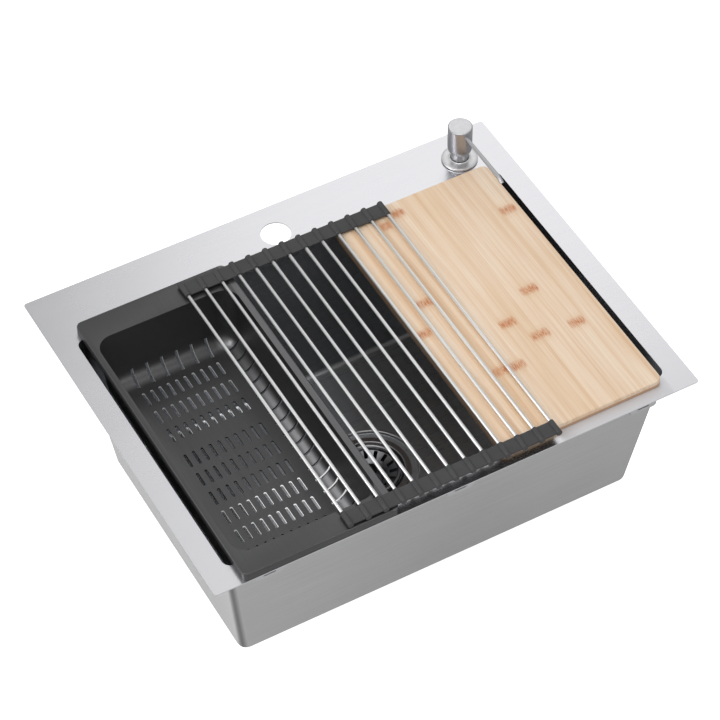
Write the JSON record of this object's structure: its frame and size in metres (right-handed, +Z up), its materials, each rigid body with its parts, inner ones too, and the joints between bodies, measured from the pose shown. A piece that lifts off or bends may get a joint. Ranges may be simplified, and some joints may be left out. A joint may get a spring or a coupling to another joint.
{
  "type": "workstation kitchen sink",
  "caption": "Drop-in kitchen sink with one deep basin, basket strainer, soap dispenser, sliding colander and cutting board, and a roll-up drying rack lying on both.",
  "frame": {"origin": "on the axis of the tap hole, in the plane of the deck's underside", "axes": "+X right, +Y to the back, +Z up out of the tap hole"},
  "size_m": [0.7112, 0.5588, 0.4716],
  "materials": {
    "deck": "satin brushed",
    "basin": "brushed, coloured charcoal inside",
    "clip_brackets": "plain sheet",
    "flange_gasket": "plain",
    "strainer_body": "satin",
    "rubber_washer": "plain",
    "friction_ring": "pressed fibre",
    "lock_nut": "cast, satin",
    "tailpiece_seal": "plain",
    "tailpiece": "polished",
    "coupling_nut": "polished",
    "collar": "satin",
    "collar_seal": "plain",
    "deck_washer": "plain",
    "deck_nut": "moulded",
    "soap_bottle": "moulded, milky",
    "pump_cylinder": "moulded",
    "dip_tube": "extruded",
    "pump_spring": "wire",
    "basket": "satin, charcoal",
    "basket_knob": "satin, charcoal",
    "basket_stopper": "plain",
    "pump_stem": "moulded",
    "pump_head": "satin",
    "spout": "satin",
    "colander": "fine grain, charcoal",
    "cutting_board": "oiled bamboo strips",
    "rack_rod_01": "satin",
    "rack_grips_01": "silicone",
    "rack_rod_02": "satin",
    "rack_grips_02": "silicone",
    "rack_rod_03": "satin",
    "rack_grips_03": "silicone",
    "rack_rod_04": "satin",
    "rack_grips_04": "silicone",
    "rack_rod_05": "satin",
    "rack_grips_05": "silicone",
    "rack_rod_06": "satin",
    "rack_grips_06": "silicone",
    "rack_rod_07": "satin",
    "rack_grips_07": "silicone",
    "rack_rod_08": "satin",
    "rack_grips_08": "silicone",
    "rack_rod_09": "satin",
    "rack_grips_09": "silicone",
    "rack_rod_10": "satin",
    "rack_grips_10": "silicone",
    "rack_rod_11": "satin",
    "rack_grips_11": "silicone",
    "rack_rod_12": "satin",
    "rack_grips_12": "silicone",
    "rack_rod_13": "satin",
    "rack_grips_13": "silicone"
  },
  "bodies": {
    "sink": {"deck": "deck", "basin": "basin", "clip_brackets": "clip_brackets", "flange_gasket": "flange_gasket", "strainer_body": "strainer_body", "rubber_washer": "rubber_washer", "friction_ring": "friction_ring", "lock_nut": "lock_nut", "tailpiece_seal": "tailpiece_seal", "tailpiece": "tailpiece", "coupling_nut": "coupling_nut", "collar": "collar", "collar_seal": "collar_seal", "deck_washer": "deck_washer", "deck_nut": "deck_nut", "soap_bottle": "soap_bottle", "pump_cylinder": "pump_cylinder", "dip_tube": "dip_tube", "pump_spring": "pump_spring"},
    "basket": {"basket": "basket", "basket_knob": "basket_knob", "basket_stopper": "basket_stopper"},
    "pump_stem": {"pump_stem": "pump_stem"},
    "pump_head": {"pump_head": "pump_head", "spout": "spout"},
    "colander": {"colander": "colander"},
    "board": {"cutting_board": "cutting_board"},
    "rack_01": {"rack_rod_01": "rack_rod_01", "rack_grips_01": "rack_grips_01"},
    "rack_02": {"rack_rod_02": "rack_rod_02", "rack_grips_02": "rack_grips_02"},
    "rack_03": {"rack_rod_03": "rack_rod_03", "rack_grips_03": "rack_grips_03"},
    "rack_04": {"rack_rod_04": "rack_rod_04", "rack_grips_04": "rack_grips_04"},
    "rack_05": {"rack_rod_05": "rack_rod_05", "rack_grips_05": "rack_grips_05"},
    "rack_06": {"rack_rod_06": "rack_rod_06", "rack_grips_06": "rack_grips_06"},
    "rack_07": {"rack_rod_07": "rack_rod_07", "rack_grips_07": "rack_grips_07"},
    "rack_08": {"rack_rod_08": "rack_rod_08", "rack_grips_08": "rack_grips_08"},
    "rack_09": {"rack_rod_09": "rack_rod_09", "rack_grips_09": "rack_grips_09"},
    "rack_10": {"rack_rod_10": "rack_rod_10", "rack_grips_10": "rack_grips_10"},
    "rack_11": {"rack_rod_11": "rack_rod_11", "rack_grips_11": "rack_grips_11"},
    "rack_12": {"rack_rod_12": "rack_rod_12", "rack_grips_12": "rack_grips_12"},
    "rack_13": {"rack_rod_13": "rack_rod_13", "rack_grips_13": "rack_grips_13"}
  },
  "joints": [
    {"name": "basket_lift", "type": "slide", "parent": "sink", "child": "basket", "axis": [0, 0, 1], "range_m": [0, 0.1]},
    {"name": "pump_press", "type": "slide", "parent": "sink", "child": "pump_stem", "axis": [0, 0, -1], "range_m": [0, 0.012], "stiffness_N_per_m": 300, "springref_m": -0.012, "deforming": ["pump_spring"]},
    {"name": "pump_swivel", "type": "hinge", "parent": "pump_stem", "child": "pump_head", "pos_m": [0.29, 0, 0.05], "axis": [0, 0, 1], "continuous": true},
    {"name": "colander_slide", "type": "slide", "parent": "sink", "child": "colander", "axis": [1, 0, 0], "range_m": [-0.005, 0.07]},
    {"name": "board_slide", "type": "slide", "parent": "sink", "child": "board", "axis": [1, 0, 0], "range_m": [-0.08, 0.04]},
    {"name": "rack_lift", "type": "slide", "parent": "sink", "child": "rack_01", "axis": [0, 0, 1], "range_m": [0, 0.15]},
    {"name": "rack_fold_02", "type": "hinge", "parent": "rack_01", "child": "rack_02", "pos_m": [-0.1494, 0, 0.01805], "axis": [0, -1, 0], "range_deg": [0, 26]},
    {"name": "rack_fold_03", "type": "hinge", "parent": "rack_02", "child": "rack_03", "pos_m": [-0.124, 0, 0.01805], "axis": [0, -1, 0], "range_deg": [0, 26]},
    {"name": "rack_fold_04", "type": "hinge", "parent": "rack_03", "child": "rack_04", "pos_m": [-0.0986, 0, 0.01805], "axis": [0, -1, 0], "range_deg": [0, 26]},
    {"name": "rack_fold_05", "type": "hinge", "parent": "rack_04", "child": "rack_05", "pos_m": [-0.0732, 0, 0.01805], "axis": [0, -1, 0], "range_deg": [0, 26]},
    {"name": "rack_fold_06", "type": "hinge", "parent": "rack_05", "child": "rack_06", "pos_m": [-0.0478, 0, 0.01805], "axis": [0, -1, 0], "range_deg": [0, 26]},
    {"name": "rack_fold_07", "type": "hinge", "parent": "rack_06", "child": "rack_07", "pos_m": [-0.0224, 0, 0.01805], "axis": [0, -1, 0], "range_deg": [0, 26]},
    {"name": "rack_fold_08", "type": "hinge", "parent": "rack_07", "child": "rack_08", "pos_m": [0.003, 0, 0.01805], "axis": [0, -1, 0], "range_deg": [0, 26]},
    {"name": "rack_fold_09", "type": "hinge", "parent": "rack_08", "child": "rack_09", "pos_m": [0.0284, 0, 0.01805], "axis": [0, -1, 0], "range_deg": [0, 26]},
    {"name": "rack_fold_10", "type": "hinge", "parent": "rack_09", "child": "rack_10", "pos_m": [0.0538, 0, 0.01805], "axis": [0, -1, 0], "range_deg": [0, 26]},
    {"name": "rack_fold_11", "type": "hinge", "parent": "rack_10", "child": "rack_11", "pos_m": [0.0792, 0, 0.01805], "axis": [0, -1, 0], "range_deg": [0, 26]},
    {"name": "rack_fold_12", "type": "hinge", "parent": "rack_11", "child": "rack_12", "pos_m": [0.1046, 0, 0.01805], "axis": [0, -1, 0], "range_deg": [0, 26]},
    {"name": "rack_fold_13", "type": "hinge", "parent": "rack_12", "child": "rack_13", "pos_m": [0.13, 0, 0.01805], "axis": [0, -1, 0], "range_deg": [0, 26]}
  ],
  "couplings": [
    {"joint": "rack_fold_03", "follows": "rack_fold_02", "ratio": 1},
    {"joint": "rack_fold_04", "follows": "rack_fold_02", "ratio": 1},
    {"joint": "rack_fold_05", "follows": "rack_fold_02", "ratio": 1},
    {"joint": "rack_fold_06", "follows": "rack_fold_02", "ratio": 1},
    {"joint": "rack_fold_07", "follows": "rack_fold_02", "ratio": 1},
    {"joint": "rack_fold_08", "follows": "rack_fold_02", "ratio": 1},
    {"joint": "rack_fold_09", "follows": "rack_fold_02", "ratio": 1},
    {"joint": "rack_fold_10", "follows": "rack_fold_02", "ratio": 1},
    {"joint": "rack_fold_11", "follows": "rack_fold_02", "ratio": 1},
    {"joint": "rack_fold_12", "follows": "rack_fold_02", "ratio": 1},
    {"joint": "rack_fold_13", "follows": "rack_fold_02", "ratio": 1}
  ]
}
